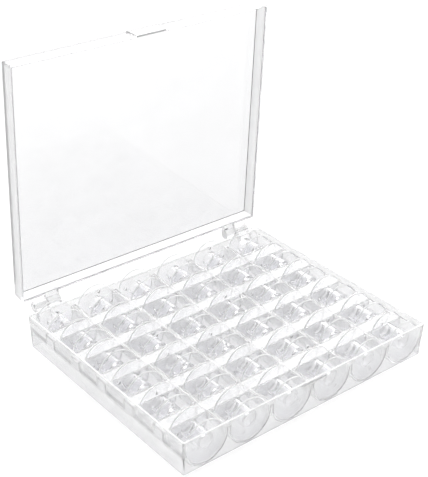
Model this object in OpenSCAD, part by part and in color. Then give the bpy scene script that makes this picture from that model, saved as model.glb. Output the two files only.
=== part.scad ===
// Bobbin box: a clear moulded tray with rows of U-shaped pockets, a hinged clear
// lid, and one sewing machine bobbin standing on edge in every pocket.
// Millimetres. The origin is the centre of the tray's footprint, on the table;
// +X runs along the rows, +Y towards the hinge and +Z up. The lid is drawn open.

/* [Bobbins] */
// Diameter of a bobbin's flanges
bobbin_d = 20.3; // [17:0.1:24]
// Length of a bobbin over both flanges
bobbin_l = 11.7; // [9:0.1:14]
// Thickness of a flange at its rim
flange_rim_t = 0.8; // [0.5:0.1:1.4]
// Thickness of a flange where it meets the hub
flange_root_t = 1.1; // [0.7:0.1:1.8]
// Outer diameter of the hub that the thread is wound on
hub_d = 8.4; // [7:0.1:10]
// Bore for the winding spindle
spindle_bore_d = 6.1; // [5:0.1:6.4]
// Diameter of the thread holes through a flange
flange_hole_d = 1.8; // [1:0.1:2.6]
// Gap between the hub and a thread hole
flange_hole_gap = 1.1; // [0.5:0.1:2.5]
// Number of thread holes through each flange
flange_holes = 1; // [1:1:8]

/* [Pockets] */
// Pockets in a row
columns = 6; // [2:1:6]
// Rows of pockets
rows = 6; // [2:1:6]
// Gap between a flange and the side of its pocket
side_gap = 0.55; // [0.3:0.05:1.2]
// Gap between a flange and the end of its pocket
end_gap = 0.7; // [0.3:0.05:1.2]
// Width of the land between neighbouring pockets of a row
land_w = 2.5; // [2.2:0.1:5]
// Width of the flat band between two rows
band_w = 7.8; // [3:0.1:12]
// Gap between the outermost pockets of a row and the side walls, at the rim
side_margin = 0.85; // [0.6:0.05:3]
// Thickness of the pocket shells and of the deck
shell_t = 1.0; // [0.7:0.1:1.1]
// Height of the pocket shells over the table
foot_gap = 0.3; // [0:0.1:1.5]
// Height of the deck over the middle of the pocket's round bottom
deck_rise = 2.3; // [1.5:0.1:6]

/* [Walls] */
// Thickness of the tray's and the lid's walls
wall_t = 1.15; // [0.9:0.05:2]
// Height of the tray's rim over the deck
rim_h = 2.9; // [1:0.1:6]
// How far a tray wall leans in towards its foot
tray_draft = 0.6; // [0.2:0.1:1.2]
// Radius of the upright corners outside
corner_r = 1.0; // [0.6:0.1:2.4]
// Radius of the upright corners inside
inner_corner_r = 0.4; // [0.2:0.1:1.2]

/* [Lid] */
// Thickness of the lid's top plate
plate_t = 1.3; // [0.9:0.1:2]
// Room between the bobbins and the closed lid
headroom = 1.7; // [0.5:0.1:4]
// How far a lid wall leans in towards the top plate
lid_draft = 0.35; // [0.2:0.05:0.8]
// Gap between the two rims when the lid is closed
rim_gap = 0.2; // [0.1:0.05:0.5]
// Angle at which the lid stands open, from closed
lid_open = 88; // [0:1:180]

/* [Latch] */
// Width of the thumb tab on the lid
tab_w = 16.6; // [10:0.2:30]
// How far the thumb tab stands out from the tray's front wall
tab_proud = 0.95; // [0.7:0.05:1.6]
// How far the thumb tab reaches down past the lid's rim
tab_drop = 2.5; // [2.2:0.1:4]
// How far the catch stands out from the tray's front wall
catch_proud = 0.35; // [0.2:0.05:0.4]

/* [Hinges] */
// Distance of the hinge axis behind the tray's back wall
hinge_back = 4.6; // [3.6:0.1:7]
// Outer radius of the hinge knuckles
knuckle_r = 2.5; // [2:0.1:3]
// Length of each knuckle
knuckle_l = 7; // [4:0.5:10]
// Distance of the tray's knuckles from the ends of the box
knuckle_inset = 6; // [3:0.5:14]
// Radius of the lid's hinge studs
stud_r = 1.3; // [0.9:0.05:1.5]
// Running gap round a stud
stud_gap = 0.05; // [0.03:0.01:0.1]

/* [Hidden] */
$fn = 64;
slack = 0.01;
seat_gap = 0.1;
side_play = 0.25;
hook_gap = 0.12;
hook_t = 0.5;
hook_slope = 0.1;
edge_bevel = 0.4;
catch_half_h = 0.6;
catch_flat_h = 0.2;
catch_inset = 1;
lug_rise = 0.6;
stud_end_gap = 0.5;
turn_seed = 155909;

pocket_r = bobbin_d / 2 + side_gap;
pocket_w = 2 * pocket_r;
pocket_l = bobbin_l + 2 * end_gap;
pitch_x = pocket_w + land_w;
pitch_y = pocket_l + band_w;
floor_z = foot_gap + shell_t;
pocket_z = floor_z + pocket_r;
deck_z = pocket_z + deck_rise;
tray_h = deck_z + rim_h;
bobbin_z = floor_z + seat_gap + bobbin_d / 2;
foot_lean = tray_draft * (1 - floor_z / tray_h);
edge_x = wall_t + side_margin;
edge_y = wall_t + max(0, foot_lean + seat_gap - end_gap);
box_w = columns * pocket_w + (columns - 1) * land_w + 2 * edge_x;
box_d = rows * pocket_l + (rows - 1) * band_w + 2 * edge_y;
lid_top = bobbin_z + bobbin_d / 2 + headroom + plate_t;
hinge_y = box_d / 2 + hinge_back;
hinge_z = tray_h;
knuckle_x = box_w / 2 - knuckle_inset - knuckle_l / 2;
lug_x = knuckle_x - knuckle_l - side_play;
hole_circle_r = hub_d / 2 + flange_hole_gap + flange_hole_d / 2;

turns = [for (turn = rands(0, 360, rows * columns, turn_seed)) round(turn)];

function bobbin_name(r, c) = str("bobbin_r", r, "_c", c);
function pocket_x(c) = (c - (columns + 1) / 2) * pitch_x;
function pocket_y(r) = (r - (rows + 1) / 2) * pitch_y;

// A plate with round corners, w by d, centred on the axis.
module round_plate(w, d, r, t) {
    linear_extrude(t)
        union() {
            square([w - 2 * r, d], center = true);
            square([w, d - 2 * r], center = true);
            for (x = [-1, 1], y = [-1, 1])
                translate([x * (w / 2 - r), y * (d / 2 - r)])
                    circle(r, $fn = 32);
        }
}

// A block whose walls lean: inset by low at z = 0 and by high at z = h.
module drafted_block(low, high, r, h) {
    hull() {
        round_plate(box_w - 2 * low, box_d - 2 * low, r, slack);
        translate([0, 0, h - slack])
            round_plate(box_w - 2 * high, box_d - 2 * high, r, slack);
    }
}

// Lays an X-Z outline along Y, from y = 0 to y = length.
module along_y(length) {
    translate([0, length, 0])
        rotate([90, 0, 0])
            linear_extrude(length)
                children();
}

// Lays a Y-Z outline along X, centred on x = 0.
module along_x(length) {
    translate([-length / 2, 0, 0])
        rotate([90, 0, 90])
            linear_extrude(length)
                children();
}

// Outline of one pocket seen from the front: a round bottom under straight sides.
module u_outline(r, top) {
    intersection() {
        circle(r);
        translate([-r, -r])
            square([2 * r, r]);
    }
    translate([-r, 0])
        square([2 * r, top]);
}

// The outlines of a whole row of pockets.
module row_outline(r, top) {
    for (c = [1 : columns])
        translate([pocket_x(c), pocket_z])
            u_outline(r, top);
}

// ---- tray: one moulding, open from below ----

module tray_inside() {
    translate([0, 0, -slack])
        drafted_block(tray_draft + wall_t, wall_t, inner_corner_r, tray_h + 2 * slack);
}

module tray_walls() {
    difference() {
        drafted_block(tray_draft, 0, corner_r, tray_h);
        tray_inside();
    }
}

module deck() {
    deck_inset = tray_draft * rim_h / tray_h + wall_t / 2;
    translate([0, 0, deck_z - shell_t])
        round_plate(box_w - 2 * deck_inset, box_d - 2 * deck_inset, inner_corner_r, shell_t);
}

module pocket_shells() {
    for (r = [1 : rows])
        translate([0, pocket_y(r) - pocket_l / 2 - shell_t, 0])
            along_y(pocket_l + 2 * shell_t)
                row_outline(pocket_r + shell_t, deck_rise);
}

module pocket_cuts() {
    for (r = [1 : rows])
        translate([0, pocket_y(r) - pocket_l / 2, 0])
            along_y(pocket_l)
                row_outline(pocket_r, deck_rise + rim_h);
}

// A knuckle that the lid's stud turns in, on a gusset down the back wall.
module tray_knuckle() {
    translate([0, hinge_y, hinge_z])
        along_x(knuckle_l)
            union() {
                circle(knuckle_r);
                polygon([
                    [0, 0], [0, -knuckle_r],
                    [-hinge_back - wall_t / 2, -knuckle_r - hinge_back],
                    [-hinge_back - wall_t / 2, -rim_h / 2], [-knuckle_r, 0]
                ]);
            }
}

// The catch under the rim that the lid's thumb tab snaps over.
module catch() {
    translate([0, -box_d / 2, tray_h - tab_drop / 2])
        along_x(tab_w - 2 * catch_inset)
            polygon([
                [tray_draft, -catch_half_h], [0, -catch_half_h], [-catch_proud, -catch_flat_h / 2],
                [-catch_proud, catch_flat_h / 2], [0, catch_half_h], [tray_draft, catch_half_h]
            ]);
}

module tray() {
    color([0.90, 0.92, 0.95, 0.45])
        difference() {
            union() {
                tray_walls();
                deck();
                intersection() {
                    pocket_shells();
                    drafted_block(tray_draft + wall_t / 2, wall_t / 2, corner_r, tray_h);
                }
                for (s = [-1, 1])
                    translate([s * knuckle_x, 0, 0])
                        tray_knuckle();
                catch();
            }
            intersection() {
                pocket_cuts();
                tray_inside();
            }
            for (s = [-1, 1])
                translate([s * knuckle_x, hinge_y, hinge_z])
                    along_x(knuckle_l + 2 * slack)
                        circle(stud_r + stud_gap);
        }
}

// ---- lid: one moulding, drawn closed and turned open ----

module lid_shell() {
    lid_h = lid_top - tray_h - rim_gap;
    translate([0, 0, tray_h + rim_gap])
        difference() {
            drafted_block(0, lid_draft, corner_r, lid_h);
            translate([0, 0, -slack])
                drafted_block(wall_t, wall_t + lid_draft, inner_corner_r, lid_h - plate_t + slack);
        }
}

// The lug that carries a stud, reaching back from the lid's rear wall.
module lid_lug() {
    reach = hinge_back + wall_t / 2;
    translate([0, hinge_y, hinge_z])
        along_x(knuckle_l)
            union() {
                circle(knuckle_r);
                polygon([[0, 0], [0, knuckle_r], [-reach, knuckle_r + lug_rise], [-reach, rim_gap], [-hinge_back, rim_gap]]);
            }
}

module lid_stud(s) {
    translate([s * (lug_x + knuckle_l / 2 - slack), hinge_y, hinge_z])
        rotate([0, s * 90, 0])
            cylinder(r = stud_r, h = side_play + knuckle_l - stud_end_gap);
}

// The thumb tab: a pad on the front wall that hooks under the tray's catch.
module thumb_tab() {
    rim_z = rim_gap;
    hook_z = -tab_drop;
    translate([0, -box_d / 2, tray_h])
        along_x(tab_w)
            polygon([
                [wall_t / 2, rim_z], [wall_t / 2, lid_top - tray_h - plate_t],
                [-tab_proud, lid_top - tray_h - plate_t], [-tab_proud, hook_z + edge_bevel],
                [-tab_proud + edge_bevel, hook_z], [-hook_gap, hook_z], [-hook_gap, hook_z + hook_t],
                [-catch_proud - hook_gap, hook_z + hook_t + hook_slope], [-catch_proud - hook_gap, rim_z]
            ]);
}

module lid() {
    color([0.93, 0.95, 0.97, 0.35])
        translate([0, hinge_y, hinge_z])
            rotate([-lid_open, 0, 0])
                translate([0, -hinge_y, -hinge_z])
                    union() {
                        lid_shell();
                        thumb_tab();
                        for (s = [-1, 1]) {
                            translate([s * lug_x, 0, 0])
                                lid_lug();
                            lid_stud(s);
                        }
                    }
}

// ---- bobbins ----

// Half of a bobbin's section: hub and two flanges, thinner towards their rims.
module bobbin_outline() {
    half = bobbin_l / 2;
    rim = bobbin_d / 2;
    hub = hub_d / 2;
    bore = spindle_bore_d / 2;
    polygon([
        [bore, -half], [rim, -half], [rim, -half + flange_rim_t], [hub, -half + flange_root_t],
        [hub, half - flange_root_t], [rim, half - flange_rim_t], [rim, half], [bore, half]
    ]);
}

// A bobbin about the Z axis, its thread holes turned by the given angle.
module bobbin(turn) {
    difference() {
        rotate_extrude()
            bobbin_outline();
        for (k = [0 : flange_holes - 1])
            rotate(turn + k * 360 / flange_holes)
                translate([hole_circle_r, 0, -bobbin_l / 2 - slack])
                    cylinder(d = flange_hole_d, h = bobbin_l + 2 * slack, $fn = 24);
    }
}

// The bobbin of one pocket. Each lies at another turn, as dropped in by hand.
module seated_bobbin(r, c) {
    color([0.88, 0.90, 0.94, 0.5])
        translate([pocket_x(c), pocket_y(r), bobbin_z])
            rotate([90, 0, 0])
                bobbin(turns[(r - 1) * columns + c - 1]);
}

tray();
lid();
for (r = [1 : rows])
    for (c = [1 : columns])
        seated_bobbin(r, c);
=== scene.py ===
"""Looks of the bobbin box: clear moulded plastic on a white table, seen as in the photograph."""

import math

import bmesh
import bpy
from mathutils import Matrix, Vector


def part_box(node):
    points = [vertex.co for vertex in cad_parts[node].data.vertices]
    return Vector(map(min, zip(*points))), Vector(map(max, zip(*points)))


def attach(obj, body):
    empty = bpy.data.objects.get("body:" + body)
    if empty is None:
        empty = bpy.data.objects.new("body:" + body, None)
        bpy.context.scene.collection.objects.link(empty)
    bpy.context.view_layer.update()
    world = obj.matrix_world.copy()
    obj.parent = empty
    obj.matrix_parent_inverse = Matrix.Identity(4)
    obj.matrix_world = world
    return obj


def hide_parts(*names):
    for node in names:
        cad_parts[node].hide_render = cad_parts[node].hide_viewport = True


MM = 0.001

# Camera, in the part's frame: where it stands, where it looks and how long its lens is.
CAMERA_AT = (-0.2938, -0.3418, 0.3109)
AZIMUTH = 39.82  # degrees from +Y towards +X
LOOKS_DOWN = 29.02  # degrees
ROLL = 1.257  # degrees
LENS = 85.56  # mm
SENSOR = 36  # mm, along the picture's long side
NEAREST = 0.01  # m; nothing nearer to the camera shows

FLOOR_SIZE = 12.0
FLOOR_ALBEDO = 0.8
FLOOR_GLOW = 0.32  # lifts the lit floor to white for the rays that see it

# Strengths of the room. The _AT values point towards the middle of a part of it. The _FROM and _FULL
# values are cosines of the angles to that middle at which the part starts and is full.
SKY_LIGHT = 0.75  # of the sky where the wall is not, as a light
WALL_LIGHT = 2.4  # of the bright wall behind the box
WALL_AT = (0.56, 0.67, 0.6)
WALL_FROM = 0.7
WALL_FULL = 0.88
ROOM_WHITE = 1.0  # of the room as seen in and through the plastic
ROOM_DARK = 0.4  # of its darkest part, behind the camera
DARK_AT = (-0.6, -0.72, 0.1)
DARK_FROM = 0.3
DARK_FULL = 0.7

SHARP_EDGE = math.radians(35)  # edges that turn by more than this are rounded
FLAT_EDGE = math.radians(1)  # edges that turn by less than this are dissolved
WELD = 0.002 * MM
MOULD_ROUND = 0.22 * MM  # radius of the tray's and lid's rounded edges
BOBBIN_ROUND = 0.15 * MM
ROUND_STEPS = 2
TIGHT_EDGE = 0.2  # of the radius; the corners of a shorter edge aren't rounded

PLASTIC_IOR = 1.5

# How clear each plastic is, from 0 for white to 1 for glass.
TRAY_CLEAR = 0.8
LID_CLEAR = 0.97
# Painted light: the lid's walls are made milkier and whiter than its plate.
LID_WALL_LIT_CLEAR = 0.6
BOBBIN_CLEAR = 0.98
# Painted highlight: the edges and rims are nearly opaque and white, so they show as bright lines.
EDGE_HIGHLIGHT_CLEAR = 0.15
CREASE_SHADE_CLEAR = 0.2  # of the painted shade on the lid's creases and outer edges
SHADE = 0.96  # how much light each surface of the plastic lets on to what is behind it
CLOUD_FROM = 0.35  # range of the noise over which the clearness varies
CLOUD_TO = 0.65

# Tints: low, its height, high, its height. The darker low ends are painted shade and, on the lid's
# plate, a painted reflection.
# Painted shade: the tray is darker towards the bottom, where shade falls under the deck and in the
# wells.
TRAY_TINTS_SHADED_LOW = ((0.88, 0.88, 0.888), 2 * MM, (0.965, 0.965, 0.968), 11 * MM)
# Painted reflection: the lid's plate is darker towards the bottom, where it reflects the darker
# tray.
LID_TINTS_PAINTED_REFLECTION = ((0.83, 0.83, 0.84), 25 * MM, (0.925, 0.925, 0.928), 140 * MM)
# Painted light: the lid's walls are lighter than its plate.
LID_WALL_LIT_TINTS = ((0.95, 0.95, 0.955), 0, (0.95, 0.95, 0.955), 1)
# Painted shade: the bobbins are darker towards the bottom, down in their wells.
BOBBIN_TINTS_SHADED_LOW = ((0.93, 0.93, 0.945), 9 * MM, (0.98, 0.98, 0.985), 16 * MM)
# Painted highlight: near-white colour of the rounded edges and rims.
EDGE_HIGHLIGHT_TINTS = ((0.97, 0.97, 0.975), 0, (0.97, 0.97, 0.975), 1)
# Painted shade: dark lines in the lid's inner corners.
CREASE_SHADE_TINTS = ((0.12, 0.12, 0.125), 0, (0.12, 0.12, 0.125), 1)
# Painted shade: grey lines on the lid's outward corners.
OUTLINE_SHADE_TINTS = ((0.75, 0.75, 0.76), 0, (0.75, 0.75, 0.76), 1)
ROUGH = 0.04
TRAY_ROUGH = 0.1
EDGE_ROUGH = 0.2

RIM_Z = 17.2 * MM
RIM_HIGHLIGHT_STRIP = 0.35 * MM  # faces this near the rim of a tray wall or flange get the painted highlight
FACES_UP = 0.99  # least upward part of the normal of the rim's top
FLANGE_FLAT = 0.5  # greatest part along the axis of the normal of a flange's rim
LID_OPEN = math.radians(88)
LID_FACING = Vector((0, math.sin(LID_OPEN), math.cos(LID_OPEN)))  # normal of the lid's plate
PLATE_FACING = 0.9  # least part of the plate's normal in the normal of a face of the plate


def make_camera():
    azimuth, down, roll = (math.radians(a) for a in (AZIMUTH, LOOKS_DOWN, ROLL))
    level = math.cos(down)
    ahead = Vector((math.sin(azimuth) * level, math.cos(azimuth) * level, -math.sin(down)))
    right = Vector((math.cos(azimuth), -math.sin(azimuth), 0))
    up = right.cross(ahead)
    rolled_right = right * math.cos(roll) + up * math.sin(roll)
    rolled_up = up * math.cos(roll) - right * math.sin(roll)
    data = bpy.data.cameras.new("camera")
    data.lens = LENS
    data.sensor_width = SENSOR
    data.sensor_fit = "AUTO"
    data.clip_start = NEAREST
    camera = bpy.data.objects.new("camera", data)
    turn = Matrix((rolled_right, rolled_up, -ahead)).transposed().to_4x4()
    camera.matrix_world = Matrix.Translation(CAMERA_AT) @ turn
    bpy.context.scene.collection.objects.link(camera)
    bpy.context.scene.camera = camera


class Nodes:
    """Short forms for building a node tree."""

    def __init__(self, tree):
        self.tree = tree
        tree.nodes.clear()

    def add(self, kind, **settings):
        node = self.tree.nodes.new(kind)
        for name, value in settings.items():
            setattr(node, name, value)
        return node

    def link(self, source, target):
        self.tree.links.new(source, target)


def seen_rays(n):
    """1 for a ray that shows the background to the camera, in a mirror or through glass."""
    path = n.add("ShaderNodeLightPath")
    first = n.add("ShaderNodeMath", operation="MAXIMUM")
    n.link(path.outputs["Is Camera Ray"], first.inputs[0])
    n.link(path.outputs["Is Glossy Ray"], first.inputs[1])
    second = n.add("ShaderNodeMath", operation="MAXIMUM")
    n.link(first.outputs[0], second.inputs[0])
    n.link(path.outputs["Is Transmission Ray"], second.inputs[1])
    return second.outputs[0]


def towards(n, facing, direction, start, full, low, high):
    """A value that goes from low to high as the ray turns towards a direction."""
    dot = n.add("ShaderNodeVectorMath", operation="DOT_PRODUCT")
    n.link(facing, dot.inputs[0])
    dot.inputs[1].default_value = Vector(direction).normalized()
    ramp = n.add("ShaderNodeMapRange", interpolation_type="SMOOTHSTEP")
    n.link(dot.outputs["Value"], ramp.inputs["Value"])
    for name, value in {"From Min": start, "From Max": full, "To Min": low, "To Max": high}.items():
        ramp.inputs[name].default_value = value
    return ramp.outputs["Result"]


def make_world():
    world = bpy.data.worlds.new("studio")
    bpy.context.scene.world = world
    world.use_nodes = True
    n = Nodes(world.node_tree)
    facing = n.add("ShaderNodeTexCoord").outputs["Generated"]
    wall = towards(n, facing, WALL_AT, WALL_FROM, WALL_FULL, 0, WALL_LIGHT)
    room = towards(n, facing, DARK_AT, DARK_FROM, DARK_FULL, ROOM_WHITE, ROOM_DARK)
    base = n.add("ShaderNodeMix", data_type="FLOAT")
    n.link(seen_rays(n), base.inputs["Factor"])
    base.inputs["A"].default_value = SKY_LIGHT
    n.link(room, base.inputs["B"])
    lit = n.add("ShaderNodeMath", operation="ADD")
    n.link(base.outputs[0], lit.inputs[0])
    n.link(wall, lit.inputs[1])
    sky = n.add("ShaderNodeBackground")
    n.link(lit.outputs[0], sky.inputs["Strength"])
    out = n.add("ShaderNodeOutputWorld")
    n.link(sky.outputs[0], out.inputs["Surface"])


def make_floor():
    mesh = bpy.data.meshes.new("floor")
    half = FLOOR_SIZE / 2
    corners = [(-half, -half, 0), (half, -half, 0), (half, half, 0), (-half, half, 0)]
    mesh.from_pydata(corners, [], [(0, 1, 2, 3)])
    floor = bpy.data.objects.new("floor", mesh)
    bpy.context.scene.collection.objects.link(floor)
    material = bpy.data.materials.new("floor_white")
    material.use_nodes = True
    n = Nodes(material.node_tree)
    paint = n.add("ShaderNodeBsdfDiffuse")
    paint.inputs["Color"].default_value = (FLOOR_ALBEDO, FLOOR_ALBEDO, FLOOR_ALBEDO, 1)
    glow = n.add("ShaderNodeEmission")
    n.link(seen_rays(n), glow.inputs["Strength"])
    glow.inputs["Color"].default_value = (FLOOR_GLOW, FLOOR_GLOW, FLOOR_GLOW, 1)
    both = n.add("ShaderNodeAddShader")
    n.link(paint.outputs[0], both.inputs[0])
    n.link(glow.outputs[0], both.inputs[1])
    out = n.add("ShaderNodeOutputMaterial")
    n.link(both.outputs[0], out.inputs["Surface"])
    mesh.materials.append(material)


def clear_plastic(name, tints_and_painted_light, clear, roughness, haze, scale):
    """Clear moulded plastic, also used for the painted highlight on edges and the painted shade on
    the lid's corners.

    tints_and_painted_light are (low, its height, high, its height): the colour goes from low to high
    up the piece; the darker low end is painted shade on the tray and bobbins and a painted
    reflection on the lid. How clear it is varies by haze, in clouds of the given scale per metre."""
    material = bpy.data.materials.new(name)
    material.use_nodes = True
    n = Nodes(material.node_tree)
    where = n.add("ShaderNodeTexCoord")
    cloud = n.add("ShaderNodeTexNoise")
    cloud.inputs["Scale"].default_value = scale
    n.link(where.outputs["Object"], cloud.inputs["Vector"])
    ramp = n.add("ShaderNodeMapRange")
    n.link(cloud.outputs["Fac"], ramp.inputs["Value"])
    limits = {
        "From Min": CLOUD_FROM,
        "From Max": CLOUD_TO,
        "To Min": min(1, clear + haze),
        "To Max": clear - haze,
    }
    for socket, value in limits.items():
        ramp.inputs[socket].default_value = value
    plastic = n.add("ShaderNodeBsdfPrincipled")
    low, low_at, high, high_at = tints_and_painted_light
    if low == high:
        plastic.inputs["Base Color"].default_value = (*low, 1)
    else:
        apart = n.add("ShaderNodeSeparateXYZ")
        n.link(where.outputs["Object"], apart.inputs[0])
        rise = n.add("ShaderNodeMapRange")
        n.link(apart.outputs["Z"], rise.inputs["Value"])
        rise.inputs["From Min"].default_value = low_at
        rise.inputs["From Max"].default_value = high_at
        tint = n.add("ShaderNodeMix", data_type="RGBA")
        n.link(rise.outputs["Result"], tint.inputs["Factor"])
        tint.inputs["A"].default_value = (*low, 1)
        tint.inputs["B"].default_value = (*high, 1)
        n.link(tint.outputs["Result"], plastic.inputs["Base Color"])
    plastic.inputs["IOR"].default_value = PLASTIC_IOR
    plastic.inputs["Roughness"].default_value = roughness
    n.link(ramp.outputs["Result"], plastic.inputs["Transmission Weight"])
    shade = n.add("ShaderNodeBsdfTransparent")
    shade.inputs["Color"].default_value = (SHADE, SHADE, SHADE, 1)
    path = n.add("ShaderNodeLightPath")
    mix = n.add("ShaderNodeMixShader")
    n.link(path.outputs["Is Shadow Ray"], mix.inputs["Fac"])
    n.link(plastic.outputs[0], mix.inputs[1])
    n.link(shade.outputs[0], mix.inputs[2])
    out = n.add("ShaderNodeOutputMaterial")
    n.link(mix.outputs[0], out.inputs["Surface"])
    return material


def is_hollow(face):
    """Whether a rounded edge lies in an inner corner rather than on an outer one."""
    middle = face.calc_center_median()
    rise = 0
    for edge in face.edges:
        for other in edge.link_faces:
            if other is not face:
                rise += (other.calc_center_median() - middle).dot(face.normal)
    return rise > 0


def moulded(name, radius, looks, look_of):
    """Stands for a CAD node, with its sharp edges rounded as a mould leaves them.

    looks are its materials, and look_of gives the number of the one for a face, by the face and
    whether it is one of the rounded edges."""
    shape = bmesh.new()
    shape.from_mesh(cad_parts[name].data)
    bmesh.ops.remove_doubles(shape, verts=shape.verts, dist=WELD)
    bmesh.ops.dissolve_limit(shape, angle_limit=FLAT_EDGE, verts=shape.verts, edges=shape.edges)
    short = [edge for edge in shape.edges if edge.calc_length() < TIGHT_EDGE * radius]
    tight = {vert for edge in short for vert in edge.verts}
    sharp = [
        edge
        for edge in shape.edges
        if edge.calc_face_angle(0) > SHARP_EDGE and not tight.intersection(edge.verts)
    ]
    bevel = bmesh.ops.bevel(
        shape,
        geom=sharp,
        offset=radius,
        segments=ROUND_STEPS,
        profile=0.5,
        affect="EDGES",
        clamp_overlap=False,  # its limit is the same for the whole mesh, set by the tightest edge
    )
    rounded = set(bevel["faces"])
    for face in shape.faces:
        face.material_index = look_of(face, face in rounded)
        face.smooth = True
    mesh = bpy.data.meshes.new(name + "_moulded")
    shape.to_mesh(mesh)
    shape.free()
    for look in looks:
        mesh.materials.append(look)
    piece = bpy.data.objects.new(name + "_moulded", mesh)
    bpy.context.scene.collection.objects.link(piece)
    piece.modifiers.new("even_shading", "WEIGHTED_NORMAL").keep_sharp = True
    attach(piece, name)
    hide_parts(name)
    return piece


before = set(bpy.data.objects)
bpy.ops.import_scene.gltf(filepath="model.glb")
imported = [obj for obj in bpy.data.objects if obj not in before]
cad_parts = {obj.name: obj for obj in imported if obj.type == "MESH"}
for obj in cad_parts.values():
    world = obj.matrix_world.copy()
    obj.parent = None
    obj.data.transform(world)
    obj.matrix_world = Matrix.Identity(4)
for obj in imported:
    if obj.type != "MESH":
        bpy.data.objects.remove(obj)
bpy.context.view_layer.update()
scene = bpy.context.scene
scene.view_settings.view_transform = "Standard"
# Enough for rays that go through many thin walls.
scene.cycles.max_bounces = 32
scene.cycles.transmission_bounces = 32
scene.cycles.glossy_bounces = 8
scene.cycles.transparent_max_bounces = 64

make_camera()
make_world()
make_floor()
tray_look = clear_plastic("tray_plastic", TRAY_TINTS_SHADED_LOW, TRAY_CLEAR, TRAY_ROUGH, haze=0.03, scale=60)
lid_look = clear_plastic("lid_plastic", LID_TINTS_PAINTED_REFLECTION, LID_CLEAR, ROUGH, haze=0.01, scale=40)
# Painted light: the lid's walls.
lid_wall_lit_look = clear_plastic(
    "lid_wall_painted_light", LID_WALL_LIT_TINTS, LID_WALL_LIT_CLEAR, ROUGH, haze=0.03, scale=60
)
bobbin_look = clear_plastic("bobbin_plastic", BOBBIN_TINTS_SHADED_LOW, BOBBIN_CLEAR, ROUGH, haze=0.02, scale=90)
# Painted highlight on the rounded edges and rims.
edge_highlight_look = clear_plastic("edge_painted_highlight", EDGE_HIGHLIGHT_TINTS, EDGE_HIGHLIGHT_CLEAR, EDGE_ROUGH, haze=0.1, scale=300)
# Painted shade in the lid's creases and on its outward corners.
crease_shade_look = clear_plastic(
    "crease_painted_shade", CREASE_SHADE_TINTS, CREASE_SHADE_CLEAR, EDGE_ROUGH, haze=0.05, scale=300
)
outline_shade_look = clear_plastic(
    "outline_painted_shade", OUTLINE_SHADE_TINTS, CREASE_SHADE_CLEAR, EDGE_ROUGH, haze=0.05, scale=300
)


def tray_look_of(face, rounded):
    """0 for the tray's plastic, 1 for the painted highlight on the rim's top and on the outward
    corners under the rim.
    """
    height = face.calc_center_median().z
    top = face.normal.z > FACES_UP and height > RIM_Z - RIM_HIGHLIGHT_STRIP
    inside = RIM_HIGHLIGHT_STRIP < height < RIM_Z - RIM_HIGHLIGHT_STRIP
    return 1 if top or rounded and inside and not is_hollow(face) else 0


def lid_look_of(face, rounded):
    """0 for the lid's plate, 1 for the painted shade in its inner corners, 2 for its walls, painted
    lighter than the plate, 3 for the painted shade on its outward corners.
    """
    if rounded:
        return 1 if is_hollow(face) else 3
    return 2 if abs(face.normal.dot(LID_FACING)) < PLATE_FACING else 0


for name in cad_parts:
    if name.startswith("bobbin"):
        low, high = (Vector(corner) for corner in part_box(name))
        middle = (low + high) / 2
        rim = (high.z - low.z) / 2

        def bobbin_look_of(face, rounded):
            """0 for the bobbin's plastic, 1 for the painted highlight on its flanges' rims and its
            outward corners.
            """
            out = face.calc_center_median() - middle
            on_rim = math.hypot(out.x, out.z) > rim - RIM_HIGHLIGHT_STRIP and abs(face.normal.y) < FLANGE_FLAT
            return 1 if on_rim or rounded and not is_hollow(face) else 0

        moulded(name, BOBBIN_ROUND, (bobbin_look, edge_highlight_look), bobbin_look_of)
moulded("tray", MOULD_ROUND, (tray_look, edge_highlight_look), tray_look_of)
lid_looks = (lid_look, crease_shade_look, lid_wall_lit_look, outline_shade_look)
moulded("lid", MOULD_ROUND, lid_looks, lid_look_of)
